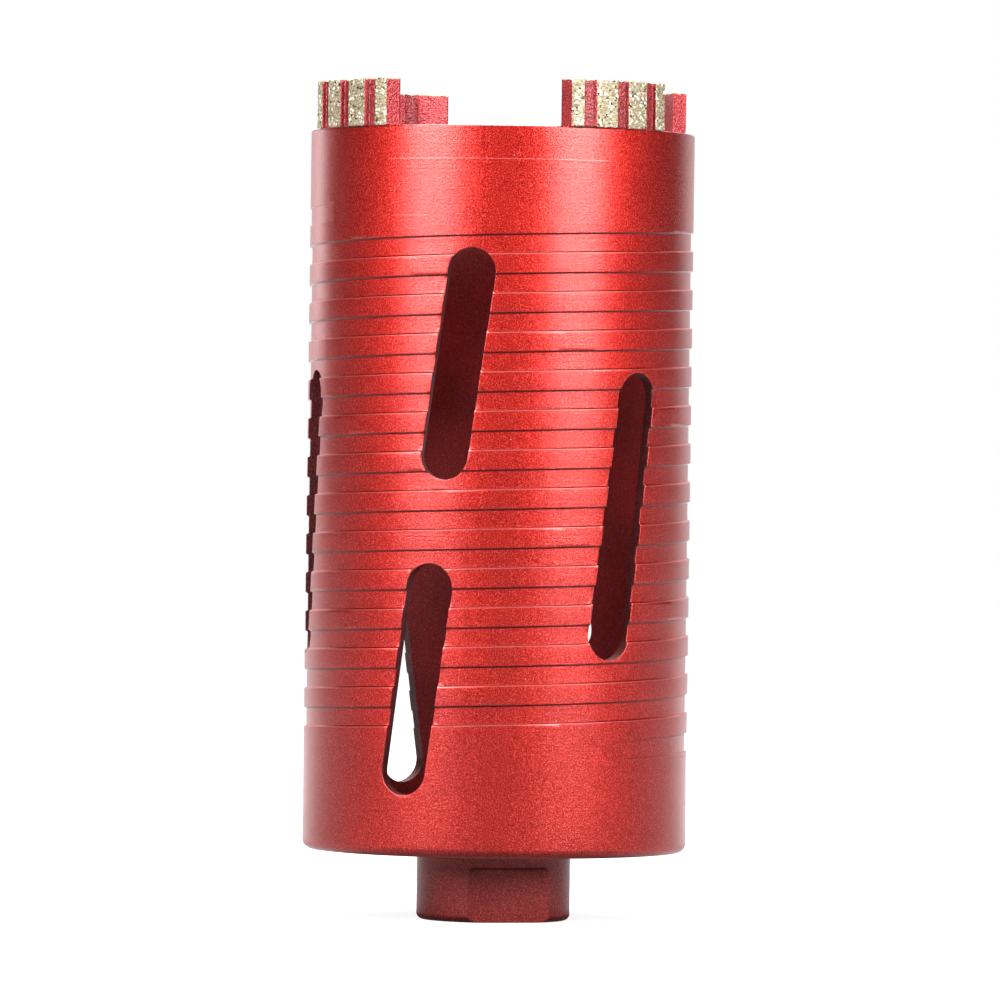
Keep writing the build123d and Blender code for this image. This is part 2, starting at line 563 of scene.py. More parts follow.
def segmentOutline():  # x outward, y along the segment, counter-clockwise, each point with its kind
    s = segmentSet
    outerLine = faceLine(1, s["outer"], s["outerFlutes"], s["outerFluteWidth"])
    innerLine = faceLine(-1, s["outer"] - s["thickness"], s["innerFlutes"], s["innerFluteWidth"])
    outline = []
    for line, other in ((outerLine, innerLine), (innerLine, outerLine)):
        outline += line
        (x0, y0, _), (x1, y1, _) = line[-1], other[0]
        steps = round(hypot(x1 - x0, y1 - y0) / s["step"])
        for i in range(1, steps):
            outline.append((x0 + (x1 - x0) * i / steps, y0 + (y1 - y0) * i / steps, "end"))
    return outline


class Block:  # one segment's points, with how bare of lacquer and how sheltered each is, and its faces
    def __init__(self, number):
        s = segmentSet
        self.draw = random.Random(s["seed"] + number)
        self.shift = Vector([self.draw.uniform(0, 99) for _ in range(3)])
        self.turn = Matrix.Rotation(radians(s["firstAngle"] + 360 / s["count"] * number - 90), 3, "Z")
        self.points, self.bare, self.sheltered, self.faces = [], [], [], []

    def add(self, p, bare, sheltered=0.0):
        self.points.append((self.turn @ p + Vector((0, 0, rimHeight))) * mm)
        self.bare.append(bare)
        self.sheltered.append(sheltered)
        return len(self.points) - 1

    def broken(self, p, size):  # 0 to 1, in lumps of about this size
        return 0.5 + 0.5 * noise.noise((p + self.shift) / size)

    def rough(self, p, shares):
        small, large = segmentSet["lumps"]
        return self.broken(p, small) * shares[0] + self.broken(p, large) * shares[1]


def addSides(block, outline):
    s = segmentSet
    count = len(outline)
    for row in range(segmentRows + 1):
        z = segmentHeight * row / segmentRows
        fromTop = segmentHeight - z
        for x, y, kind in outline:
            p = Vector((x, y, z))
            inward = Vector((x, y, 0)).normalized() * (-1 if kind in ("rib", "flute") else 1)
            if kind == "end":
                inward = Vector((0, -1 if y > 0 else 1, 0))
            depth = s["pits"] * block.rough(p, s["sideLumps"]) * (1.0 if kind == "rib" else s["smoothShare"])
            depth += max(0.0, s["edgeWear"] - fromTop) * 0.5 * block.broken(p, s["edgeLump"])
            sunk = abs(hypot(x, y) - s["outer"] + (s["thickness"] if kind == "inner" else 0))
            # how deep in a flute the point lies, where the lacquer is darkened as slurry and painted shade
            sheltered = 0.0 if kind == "end" else min(1.0, sunk / s["fluteDepth"])
            bare = 0.7 * max(0.0, 1 - fromTop / s["rubbed"])
            if kind == "rib":
                bare = min(1.0, 0.45 + z / s["rubbed"])
            block.add(p + inward * depth, bare, sheltered)
    for row in range(segmentRows):
        below, above = row * count, (row + 1) * count
        for i in range(count):
            after = (i + 1) % count
            block.faces.append((below + i, below + after, above + after, above + i))


def fillOutline(outline):  # flat points and triangles, with the numbers of the outline's own points
    s = segmentSet
    count = len(outline)
    middle = s["outer"] - s["thickness"] / 2
    loop = [Vector((x, y)) for x, y, _ in outline]
    fill = list(loop)
    for along in range(int(s["length"] / s["step"])):
        y = -s["length"] / 2 + (along + 0.5) * s["step"]
        for across in range(-9, 10):
            place = Vector((sqrt(middle ** 2 - y * y) + across * s["step"], y))
            if min((place - p).length for p in loop) > 0.6 * s["step"]:
                fill.append(place)
    lines = [(i, (i + 1) % count) for i in range(count)]
    flat, _, triangles, origins, _, within = delaunay_2d_cdt(fill, lines, [list(range(count))], 0, 1e-6, True)
    rings = [[o for o in origin if o < count] for origin in origins]
    return flat, [t for t, faceIds in zip(triangles, within) if faceIds], rings


def addFlats(block, outline):  # top and underside, with points on the same spacing
    s = segmentSet
    flat, triangles, rings = fillOutline(outline)
    for row, way in ((segmentRows, 1), (0, -1)):
        ids = {}
        for i in sorted({i for t in triangles for i in t}):
            if rings[i]:
                ids[i] = row * len(outline) + rings[i][0]
                continue
            place = Vector((flat[i].x, flat[i].y, segmentHeight * row / segmentRows))
            if way > 0:
                place -= Vector((0, 0, s["pits"] * block.rough(place, s["topLumps"])))
            ids[i] = block.add(place, 0.5 if way > 0 else 0.0)
        block.faces += [tuple(ids[i] for i in t[::way]) for t in triangles]


def addDiamonds(block, outline):  # small blunt crystals half sunk in the ribs' face
    s, draw = segmentSet, block.draw
    ribs = [y for _, y, kind in outline if kind == "rib"]
    for _ in range(s["gritPerSegment"]):
        y = draw.choice(ribs) + draw.uniform(-0.5, 0.5) * s["step"]
        z = draw.uniform(s["gritClear"][0], segmentHeight - s["gritClear"][1])
        size = s["grit"] / 2 * draw.uniform(*s["gritSizes"])
        centre = Vector((sqrt(s["outer"] ** 2 - y * y), y, z))
        centre -= Vector((centre.x, centre.y, 0)).normalized() * (size * 0.75 + s["pits"] * 0.25)
        spin = draw.uniform(0, 2 * pi)
        turn = Matrix.Rotation(spin, 3, Vector([draw.gauss(0, 1) for _ in range(3)]).normalized())
        ids = []
        for corner in crystalCorners:
            reach = size * draw.uniform(*s["gritCorners"])
            ids.append(block.add(centre + turn @ Vector(corner) * reach, 1.0))
        block.faces += [tuple(ids[i] for i in face) for face in crystalFaces]


def buildSegment(number):
    outline = segmentOutline()
    block = Block(number)
    addSides(block, outline)
    addFlats(block, outline)
    firstCrystal = len(block.faces)
    addDiamonds(block, outline)
    piece = addPiece(f"gritty_segment_{number + 1}", block.points, block.faces)
    for attribute, values in (("bare", block.bare), ("sheltered", block.sheltered)):
        piece.data.attributes.new(attribute, "FLOAT", "POINT").data.foreach_set("value", values)
    piece.data.shade_smooth()
    for face in piece.data.polygons[firstCrystal:]:
        face.material_index = 1
        face.use_smooth = False
    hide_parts(f"segment_{number + 1}")
    return piece


segments = [buildSegment(number) for number in range(segmentSet["count"])]
print("segments built:", len(segments[0].data.vertices), "vertices each")


# Braze: what has run out of the joint between each segment and the rim
brazeSet = {
    "bead": 0.28,            # thickness of the line of braze
    "corner": 0.6,           # the drops at the segment's four lower corners
    "cornerReach": 0.9,
    "lumps": 1.6,            # length of its lumps along the joint
    "thinnest": 0.55,        # the bead there, and how much more it has at a lump's top
    "swell": 0.9,
    "fromBore": 0.1,         # how far inside the wall's two edges it runs
    "fromOutside": 0.15,
    "faceSteps": 60,         # along each curved face
    "endSteps": 6,           # across each end
    "sides": 8,
}


def brazePath(number):  # the joint's line round one segment in metres, and its four corners
    s, b = segmentSet, brazeSet
    middle = s["firstAngle"] + 360 / s["count"] * number
    half = s["length"] / 2
    inner, outer = boreRadius + b["fromBore"], outerRadius - b["fromOutside"]
    path, corners = [], []
    for radius, other, way in ((outer, inner, 1), (inner, outer, -1)):
        reach = degrees(asin(half / radius))
        for i in range(b["faceSteps"] + 1):
            path.append(around(middle + way * reach * (2 * i / b["faceSteps"] - 1), radius, rimHeight))
        corners += [path[-b["faceSteps"] - 1], path[-1]]
        for i in range(1, b["endSteps"]):
            r = radius + (other - radius) * i / b["endSteps"]
            path.append(around(middle + way * degrees(asin(half / r)), r, rimHeight))
    return path, corners


def buildBraze(number):
    b = brazeSet
    up = Vector((0, 0, 1))
    shift = Vector((7.3 * number, 2.1, 5.5))  # so that no two lines have the same lumps
    path, corners = brazePath(number)
    count, sides = len(path), b["sides"]
    points, faces = [], []
    for i, p in enumerate(path):
        along = (path[(i + 1) % count] - path[i - 1]).normalized()
        side = along.cross(up).normalized()
        near = min((p - corner).length for corner in corners) / mm
        size = b["bead"] * (b["thinnest"] + b["swell"] * (0.5 + 0.5 * noise.noise(p / mm / b["lumps"] + shift)))
        size += (b["corner"] - b["bead"]) * max(0.0, 1 - near / b["cornerReach"]) ** 0.5
        for k in range(sides):
            turn = 2 * pi * k / sides
            points.append(p + (side * cos(turn) + up * sin(turn)) * size * 0.5 * mm)
    for i in range(count):
        a, c = i * sides, (i + 1) % count * sides
        for k in range(sides):
            after = (k + 1) % sides
            faces.append((a + k, c + k, c + after, a + after))
    bead = addPiece(f"braze_line_{number + 1}", points, faces)
    weldAndShade(bead, 70, 0.0005)
    return bead


beads = [buildBraze(number) for number in range(segmentSet["count"])]
print("braze built")


# Materials. The sizes of their patterns are in mm.
def linear(hexColour):  # "#rrggbb" as sRGB to the linear colour that Blender mixes
    values = [int(hexColour[i:i + 2], 16) / 255 for i in (1, 3, 5)]
    return [v / 12.92 if v <= 0.04045 else ((v + 0.055) / 1.055) ** 2.4 for v in values] + [1.0]


def addNode(tree, kind, settings=()):
    # Settings are the node's own fields, then its sockets by name or number. A node or a socket
    # given to a socket is linked to it, and "stops" are a ramp's places and colours.
    node = tree.nodes.new("ShaderNode" + kind)
    sockets = dict(settings)
    for key in [key for key in sockets if isinstance(key, str) and hasattr(node, key)]:
        setattr(node, key, sockets.pop(key))
    stops = sockets.pop("stops", [])
    for number, (position, colour) in enumerate(stops):
        if number >= len(node.color_ramp.elements):
            node.color_ramp.elements.new(1.0)
        node.color_ramp.elements[number].position = position
        node.color_ramp.elements[number].color = linear(colour)
    for key, value in sockets.items():
        if isinstance(value, bpy.types.Node):
            value = next(output for output in value.outputs if output.enabled)
        if isinstance(value, bpy.types.NodeSocket):
            tree.links.new(value, node.inputs[key])
        else:
            node.inputs[key].default_value = value
    return node


def newMaterial(name):
    material = bpy.data.materials.new(name)
    material.use_nodes = True
    material.node_tree.nodes.clear()
    return material, material.node_tree


def perMm(size):  # texture scale for a pattern of this size, on coordinates in metres
    return 1 / (size * mm)


lacquerSet = {
    "tone": ("#ae1e18", "#ba2119"),  # where the lacquer lies thicker and thinner
    "flakeShade": (0.55, 1.34),  # how dark and how bright a single flake shows
    "roughness": 0.42,
    "flakeRoughness": 0.04,  # how much one flake differs from that
    "coat": 1.0,
    "coatRoughness": 0.2,
    "orangePeel": (0.65, 1.0),  # how thinly and how fully the clear coat covers a flake
    "metal": 1.0,
    "anisotropy": 0.5,
    "turningPitch": 0.55,    # feed of the lathe tool
    "turningDepth": 0.01,
    "wander": (9.0, 0.12),   # over what length the rings wander, and how far
    "flake": 0.27,           # metal flake is 0.03 mm across, drawn coarser so that it shows
    "flakeDepth": 0.04,
    "glint": "#dc9086",      # the palest flakes, where bare aluminium shows
    "glintShare": 0.11,
    "cloud": 14.0,
    "grain": 0.5,            # sintered grains that show through on the segments
    "grainDepth": 0.0,
}
# The same lacquer over a rougher, milled hub: duller and greyer than the barrel, and its tone darker as painted
# shade at the foot.
hubShadedFinish = {"tone": ("#842a2a", "#923332"), "roughness": 0.58, "coat": 0.6, "turningDepth": 0.006}
# A thin pass of the lacquer that drifted in over raw drawn tube: dull, and darkened to maroon as painted shade
# inside the tube.
boreShadedFinish = {"tone": ("#761315", "#8a181a"), "roughness": 0.62, "coat": 0.1, "turningDepth": 0.005,
              "metal": 0.25}
# What little lacquer reached the laser-cut walls of the slots, darkened nearly to brown as painted shade.
slotWallShadedFinish = {"tone": ("#430e11", "#581417"), "roughness": 0.5, "coat": 0.15, "turningDepth": 0.005,
             "metal": 0.5}


def lacquerShader(tree, finish, marks=None):
    # Clear red lacquer sprayed over lathe-turned steel: a satin metallic red that pales where it
    # mirrors a lamp, with rings from the tool's feed and a fine sparkle from the flake.
    s = {**lacquerSet, **finish}
    place = addNode(tree, "TexCoord").outputs["Object"]
    height = addNode(tree, "SeparateXYZ", {"Vector": place}).outputs["Z"]
    drift = addNode(tree, "TexNoise", {"Vector": place, "Scale": perMm(s["wander"][0]), "Detail": 1.0})
    drifted = addNode(tree, "Math", {
        "operation": "MULTIPLY_ADD", 0: drift, 1: s["wander"][1] * mm, 2: height})
    rings = addNode(tree, "TexNoise", {
        "noise_dimensions": "1D", "W": drifted, "Scale": perMm(s["turningPitch"]), "Detail": 2.0,
        "Roughness": 0.6})
    flakes = addNode(tree, "TexNoise", {
        "Vector": place, "Scale": perMm(s["flake"]), "Detail": 1.0, "Roughness": 0.7})
    clouds = addNode(tree, "TexNoise", {"Vector": place, "Scale": perMm(s["cloud"]), "Detail": 3.0})
    relief = addNode(tree, "Bump", {"Distance": s["turningDepth"] * mm, "Height": rings})
    relief = addNode(tree, "Bump", {
        "Distance": s["flakeDepth"] * mm, "Height": flakes, "Normal": relief})
    if s["grainDepth"]:
        grains = addNode(tree, "TexNoise", {"Vector": place, "Scale": perMm(s["grain"]), "Detail": 3.0})
        relief = addNode(tree, "Bump", {
            "Distance": s["grainDepth"] * mm, "Height": grains, "Normal": relief})
    # the flakes' noise lies mostly between 0.3 and 0.7, and each range below is a part of that
    thick, thin = s["tone"]
    base = addNode(tree, "ValToRGB", {"Fac": clouds, "stops": [(0.35, thick), (0.65, thin)]})
    dark, bright = s["flakeShade"]
    shade = addNode(tree, "MapRange", {
        "Value": flakes, "From Min": 0.34, "From Max": 0.66, "To Min": dark, "To Max": bright})
    base = addNode(tree, "VectorMath", {"operation": "SCALE", "Vector": base, "Scale": shade})
    glints = addNode(tree, "MapRange", {
        "Value": flakes, "From Min": 0.55, "From Max": 0.66, "To Max": s["glintShare"]})
    base = addNode(tree, "Mix", {
        "data_type": "RGBA", "Factor": glints, "A": base, "B": linear(s["glint"])})
    if marks:
        base = marks(tree, place, height, base)
    rough = addNode(tree, "MapRange", {
        "Value": flakes, "From Min": 0.3, "From Max": 0.7,
        "To Min": s["roughness"] - s["flakeRoughness"], "To Max": s["roughness"] + s["flakeRoughness"]})
    least, most = s["orangePeel"]
    coated = addNode(tree, "MapRange", {
        "Value": flakes, "From Min": 0.36, "From Max": 0.6,
        "To Min": s["coat"] * least, "To Max": s["coat"] * most})
    tangent = addNode(tree, "Tangent", {"direction_type": "RADIAL", "axis": "Z"})
    return addNode(tree, "BsdfPrincipled", {
        "Base Color": base, "Metallic": s["metal"], "Roughness": rough, "Normal": relief,
        "Anisotropic": s["anisotropy"], "Tangent": tangent, "Coat Weight": coated,
        "Coat Roughness": s["coatRoughness"], "Coat Normal": relief})


markSet = {
    "scores": [(142.6, -24.0, 23.5), (131.0, -23.0, -14.5)],  # height above the foot, and x from and to
    "scoreWidth": 0.09,
    "scoreShare": 0.4,
    "scoreFade": 3.0,        # over which a score comes up at its ends
    # pale red: a painted highlight on the groove's lower lip, and real wear on the scores and nicks
    "rubbed": "#f3a09a",
    # painted shade, with some dirt, under the groove's upper edge
    "shadeAndDirt": "#5a0b0e",
    "scorched": "#3b1712",
    # lines along the groove: distance from its middle, half width, which colour, and share
    # the first line is painted shade and dirt, the second a painted highlight
    "grooveLines": [(1.86, 0.3, "shadeAndDirt", 0.8), (-2.08, 0.14, "rubbed", 0.22)],
    "scorch": (0.4, 0.1),    # how far below the rim the brazing heat began to brown it, and fully did
    "scorchPatch": 5.0,
    "grooveFade": 1.3,       # how far past the groove's full-depth ends its lines go
    "nickSpacing": 7.0,
    "nick": 0.14,
}


def acrossGroove(tree, x, y, height):
    # How far above the groove's middle the place is, and how far along its length the lines go.
    b = barrelSet
    pitch = b["groovePitch"] * mm
    low, high = (footHeight + b["grooveLow"]) * mm, (footHeight + b["grooveHigh"]) * mm
    toFront = addNode(tree, "Math", {"operation": "MULTIPLY", 0: y, 1: -1.0})
    angle = addNode(tree, "Math", {"operation": "ARCTAN2", 0: x, 1: toFront})
    turned = addNode(tree, "Math", {"operation": "DIVIDE", 0: angle, 1: 2 * pi})
    above = addNode(tree, "Math", {"operation": "SUBTRACT", 0: height, 1: low})
    climbed = addNode(tree, "Math", {"operation": "DIVIDE", 0: above, 1: pitch})
    laps = addNode(tree, "Math", {"operation": "SUBTRACT", 0: climbed, 1: turned})
    phase = addNode(tree, "Math", {"operation": "ADD", 0: laps, 1: b["grooveStart"] / 360})
    lap = addNode(tree, "Math", {"operation": "WRAP", 0: phase, 1: 0.5, 2: -0.5})
    across = addNode(tree, "Math", {"operation": "MULTIPLY", 0: lap, 1: pitch})
    middle = addNode(tree, "Math", {"operation": "SUBTRACT", 0: height, 1: across})
    fade = markSet["grooveFade"] * mm
    lower = addNode(tree, "MapRange", {"Value": middle, "From Min": low - fade, "From Max": low})
    upper = addNode(tree, "MapRange", {"Value": middle, "From Min": high + fade, "From Max": high})
    return across, addNode(tree, "Math", {"operation": "MULTIPLY", 0: lower, 1: upper})


def turningMarks(tree, place, height, base):
    # Faint light rings where the tool dwelt, a dark line of painted shade and dirt under the groove's upper
    # edge and a pale line of painted highlight along the lower, a browned line along the rim, and a few bright
    # nicks.
    s = markSet
    x, y, _ = addNode(tree, "SeparateXYZ", {"Vector": place}).outputs
    across, along = acrossGroove(tree, x, y, height)
    marks = []  # colour and share of each, in the order they are laid on
    # along the groove: painted shade and dirt under the upper edge, and a painted highlight on the lower lip
    for middle, half, colour, share in s["grooveLines"]:
        off = addNode(tree, "Math", {"operation": "SUBTRACT", 0: across, 1: middle * mm})
        off = addNode(tree, "Math", {"operation": "ABSOLUTE", 0: off})
        line = addNode(tree, "MapRange", {
            "Value": off, "From Min": half * mm, "From Max": half * 0.5 * mm, "To Max": share})
        marks.append((colour, addNode(tree, "Math", {"operation": "MULTIPLY", 0: line, 1: along})))
    for level, left, right in s["scores"]:
        off = addNode(tree, "Math", {"operation": "SUBTRACT", 0: height, 1: (footHeight + level) * mm})
        off = addNode(tree, "Math", {"operation": "ABSOLUTE", 0: off})
        line = addNode(tree, "MapRange", {
            "Value": off, "From Min": s["scoreWidth"] * mm, "From Max": 0.0, "To Max": s["scoreShare"]})
        for end, fade in ((left, s["scoreFade"]), (right, -s["scoreFade"])):
            span = addNode(tree, "MapRange", {
                "Value": x, "From Min": end * mm, "From Max": (end + fade) * mm})
            line = addNode(tree, "Math", {"operation": "MULTIPLY", 0: line, 1: span})
        marks.append(("rubbed", line))
    blotch = addNode(tree, "TexNoise", {
        "Vector": place, "Scale": perMm(s["scorchPatch"]), "Detail": 2.0})
    patch = addNode(tree, "MapRange", {"Value": blotch, "From Min": 0.5, "From Max": 0.56})
    begun, full = [(rimHeight - below) * mm for below in s["scorch"]]
    near = addNode(tree, "MapRange", {"Value": height, "From Min": begun, "From Max": full})
    marks.append(("scorched", addNode(tree, "Math", {"operation": "MULTIPLY", 0: near, 1: patch})))
    spots = addNode(tree, "TexVoronoi", {"Vector": place, "Scale": perMm(s["nickSpacing"])})
    size = s["nick"] / s["nickSpacing"]
    nick = addNode(tree, "MapRange", {"Value": spots, "From Min": size, "From Max": 0.6 * size})
    for colour, share in marks + [("rubbed", nick)]:
        base = addNode(tree, "Mix", {
            "data_type": "RGBA", "Factor": share, "A": base, "B": linear(s[colour])})
    return base


def lacquered(name, finish, marks=None):
    material, tree = newMaterial(name)
    addNode(tree, "OutputMaterial", {"Surface": lacquerShader(tree, finish, marks)})
    return material


gritSet = {
    "matrix": [(0.30, "#5c4c36"), (0.43, "#8f7b55"), (0.55, "#a99e84"), (0.70, "#cfcab9")],
    "grain": 0.6,            # sintered grains
    "streak": 2.2,           # how much flatter they are than wide, smeared along the cut
    "sparkle": 0.22,
    "bright": ("#f2ede0", 0.86, 0.92),  # fresh metal: its colour, and which of the specks it is
    "pitted": ("#2c2822", 0.09, 0.04),  # empty pits, the same
    "relief": 0.05,
    "metal": 0.35,
    "roughness": 0.55,
}


def gritShader(tree):
    # Sintered bronze-and-iron powder ground open on brick: a matt grey-beige crust of grains.
    s = gritSet
    place = addNode(tree, "TexCoord").outputs["Object"]
    flat = addNode(tree, "VectorMath", {"operation": "MULTIPLY", 0: place, 1: (1.0, 1.0, s["streak"])})
    grains = addNode(tree, "TexNoise", {
        "Vector": flat, "Scale": perMm(s["grain"]), "Detail": 3.0, "Roughness": 0.65})
    specks = addNode(tree, "TexVoronoi", {"Vector": place, "Scale": perMm(s["sparkle"] * 2)})
    speck = addNode(tree, "SeparateColor", {"Color": specks.outputs["Color"]}).outputs["Red"]
    base = addNode(tree, "ValToRGB", {"Fac": grains, "stops": s["matrix"]})
    for colour, none, full in (s["bright"], s["pitted"]):
        share = addNode(tree, "MapRange", {"Value": speck, "From Min": none, "From Max": full})
        base = addNode(tree, "Mix", {
            "data_type": "RGBA", "Factor": share, "A": base, "B": linear(colour)})
    relief = addNode(tree, "Bump", {"Distance": s["relief"] * mm, "Height": grains})
    return addNode(tree, "BsdfPrincipled", {
        "Base Color": base, "Metallic": s["metal"], "Roughness": s["roughness"], "Normal": relief})


rubbedSet = {
    "lacquer": {"tone": ("#9c262d", "#ba383d"), "roughness": 0.5, "coat": 0.7, "turningDepth": 0.0,
                "grainDepth": 0.22, "metal": 0.8},
    "tongue": 0.7,           # size of the tongues along the lacquer's worn edge
    "raggedness": 0.9,
    "wornEdge": (0.45, 0.55),
    # dark red of slurry and painted shade in the flutes
    "slurryAndShade": "#5c1119",
    "slurryPatch": 0.9,
    "slurryAndShadeShare": (0.3, 0.7),
}


def flutedShade(tree, place, height, base):
    # Slurry and painted shade darken the flutes, most of all along their floors.
    s = rubbedSet
    hollow = addNode(tree, "Attribute", {"attribute_name": "sheltered"}).outputs["Fac"]
    blotch = addNode(tree, "TexNoise", {
        "Vector": place, "Scale": perMm(s["slurryPatch"]), "Detail": 2.0})
    least, most = s["slurryAndShadeShare"]
    patch = addNode(tree, "MapRange", {
        "Value": blotch, "From Min": 0.35, "From Max": 0.6, "To Min": least, "To Max": most})
    share = addNode(tree, "Math", {"operation": "MULTIPLY", 0: hollow, 1: patch})
    return addNode(tree, "Mix", {
        "data_type": "RGBA", "Factor": share, "A": base, "B": linear(s["slurryAndShade"])})


def sinteredSegment():
    # Segments were sprayed with the barrel, then dressed: lacquer stays in the flutes and on the
    # ends, and is rubbed off the ribs along a ragged edge.
    s = rubbedSet
    material, tree = newMaterial("sintered_segment_with_rubbed_lacquer")
    place = addNode(tree, "TexCoord").outputs["Object"]
    worn = addNode(tree, "Attribute", {"attribute_name": "bare"}).outputs["Fac"]
    ragged = addNode(tree, "TexNoise", {"Vector": place, "Scale": perMm(s["tongue"]), "Detail": 3.0})
    ragged = addNode(tree, "Math", {"operation": "SUBTRACT", 0: ragged, 1: 0.5})
    edge = addNode(tree, "Math", {"operation": "MULTIPLY_ADD", 0: ragged, 1: s["raggedness"], 2: worn})
    none, full = s["wornEdge"]
    share = addNode(tree, "MapRange", {"Value": edge, "From Min": none, "From Max": full})
    lacquer = lacquerShader(tree, s["lacquer"], flutedShade)
    mixed = addNode(tree, "MixShader", {0: share, 1: lacquer, 2: gritShader(tree)})
    addNode(tree, "OutputMaterial", {"Surface": mixed})
    return material


diamondSet = {
    "colours": [(0.05, "#5c5446"), (0.3, "#a89c80"), (0.6, "#c7a460"), (0.85, "#f2ecdc")],
    "patch": 0.9,            # wider than a crystal, so that most have one colour
    "roughness": 0.3,
    "ior": 2.4,
}


def diamondGrit():
    # Synthetic diamond, 40/50 mesh: small blunt crystals from grey to amber with hard glints.
    s = diamondSet
    material, tree = newMaterial("diamond_grit")
    place = addNode(tree, "TexCoord").outputs["Object"]
    cells = addNode(tree, "TexVoronoi", {"Vector": place, "Scale": perMm(s["patch"])})
    pick = addNode(tree, "SeparateColor", {"Color": cells.outputs["Color"]}).outputs["Green"]
    base = addNode(tree, "ValToRGB", {"Fac": pick, "stops": s["colours"]})
    crystal = addNode(tree, "BsdfPrincipled", {
        "Base Color": base, "Roughness": s["roughness"], "IOR": s["ior"]})
    addNode(tree, "OutputMaterial", {"Surface": crystal})
    return material


def setFinishes():
    lacquer = lacquered("red_lacquer_on_turned_steel", {}, turningMarks)
    bore = lacquered("dull_red_with_painted_shade_in_bore", boreShadedFinish)
    cut = lacquered("red_lacquer_with_painted_shade_on_slot_walls", slotWallShadedFinish)
    endCap.data.materials.clear()
    for pieces, finishes in (
        ([barrel], [lacquer, bore, cut]),
        ([endCap], [lacquered("red_lacquer_with_painted_shade_on_milled_hub", hubShadedFinish)]),
        (segments, [sinteredSegment(), diamondGrit()]),
        (beads, [lacquer]),
    ):
        for piece in pieces:
            for finish in finishes:
                piece.data.materials.append(finish)
    for face in barrel.data.polygons:  # the bore got overspray, and the slots' walls hardly that; both are darkened as painted shade
        x, y, z = face.center / mm
        radius = hypot(x, y)
        if radius < boreRadius + 0.05:
            face.material_index = 1
        elif nearestSlot(degrees(atan2(x, -y)), z - footHeight, radius)[0] < 0.03:
            face.material_index = 2


setFinishes()
print("materials set")


# Camera, square to the front of the bit, in mm and degrees
cameraSet = {
    "place": (-0.28, -1564.9, 91.56),
    "lookDown": 0.149,
    "turn": -0.023,
    "roll": 0.768,
    "lens": 269.86,
}


def buildCamera():
    s = cameraSet
    data = bpy.data.cameras.new("studio_camera")
    data.lens = s["lens"]
    data.sensor_width = 36.0
    data.clip_end = 20.0
    camera = bpy.data.objects.new("studio_camera", data)
    bpy.context.scene.collection.objects.link(camera)
    turn = Matrix.Rotation(radians(s["turn"]), 4, "Z")
    down = Matrix.Rotation(radians(90 - s["lookDown"]), 4, "X")
    roll = Matrix.Rotation(radians(s["roll"]), 4, "Z")
    camera.matrix_world = Matrix.Translation(Vector(s["place"]) * mm) @ turn @ down @ roll
    bpy.context.scene.camera = camera


# Studio: white board and paper, and softboxes round the bit. Lengths are in metres here.
studioSet = {
    "floorSize": 6.0,
    "floorColour": "#8c8c8c",
    "shadowReach": 0.25,     # from the axis to where the board starts to turn evenly white
    "whiteFrom": 0.6,
    "nearWhite": 0.86,
    "mirroredWhite": 0.85,   # how bright the metal sees the paper, and the board behind the bit
    "mirroredFront": 0.1,    # and the board in front, which lies in the dark of the room
    "mirrorFade": (-0.6, 0.4),  # where it goes from the one to the other, from front to back
    "backdropFar": 2.2,
    "backdropHigh": 2.0,
    "backdropSpread": 42.0,  # degrees each side of straight behind
    "backdropFolds": 24,
    "paperGlow": 0.1,        # how strongly the paper lights the bit
    "worldGrey": 0.02,
    # azimuth from the front, height of its middle, distance, width, height, strength
    "lamps": {
        "left_softbox": (-42.0, 0.44, 1.07, 0.6, 0.5, 14.2),
        "right_softbox": (46.0, 0.44, 1.07, 0.6, 0.5, 15.2),
        "rear_softbox": (-140.0, 0.3, 1.07, 0.3, 0.4, 0.7),
        "top_softbox": (180.0, 1.1, 0.45, 0.9, 0.7, 40.0),
        "front_top_softbox": (0.0, 1.1, 0.45, 0.9, 0.7, 6.0),
    },
}


def stageSheet(name, points, faces, material):
    mesh = bpy.data.meshes.new(name)
    mesh.from_pydata(points, [], faces)
    mesh.materials.append(material)
    obj = bpy.data.objects.new(name, mesh)
    bpy.context.scene.collection.objects.link(obj)


def seenWhite(tree, paths, mirrored):  # 1 to the camera and through glass, and this much in a mirror
    direct = addNode(tree, "Math", {
        "operation": "MAXIMUM", 0: paths["Is Camera Ray"], 1: paths["Is Transmission Ray"]})
    glossy = addNode(tree, "Math", {"operation": "MULTIPLY", 0: paths["Is Glossy Ray"], 1: mirrored})
    return addNode(tree, "Math", {"operation": "MAXIMUM", 0: direct, 1: glossy})


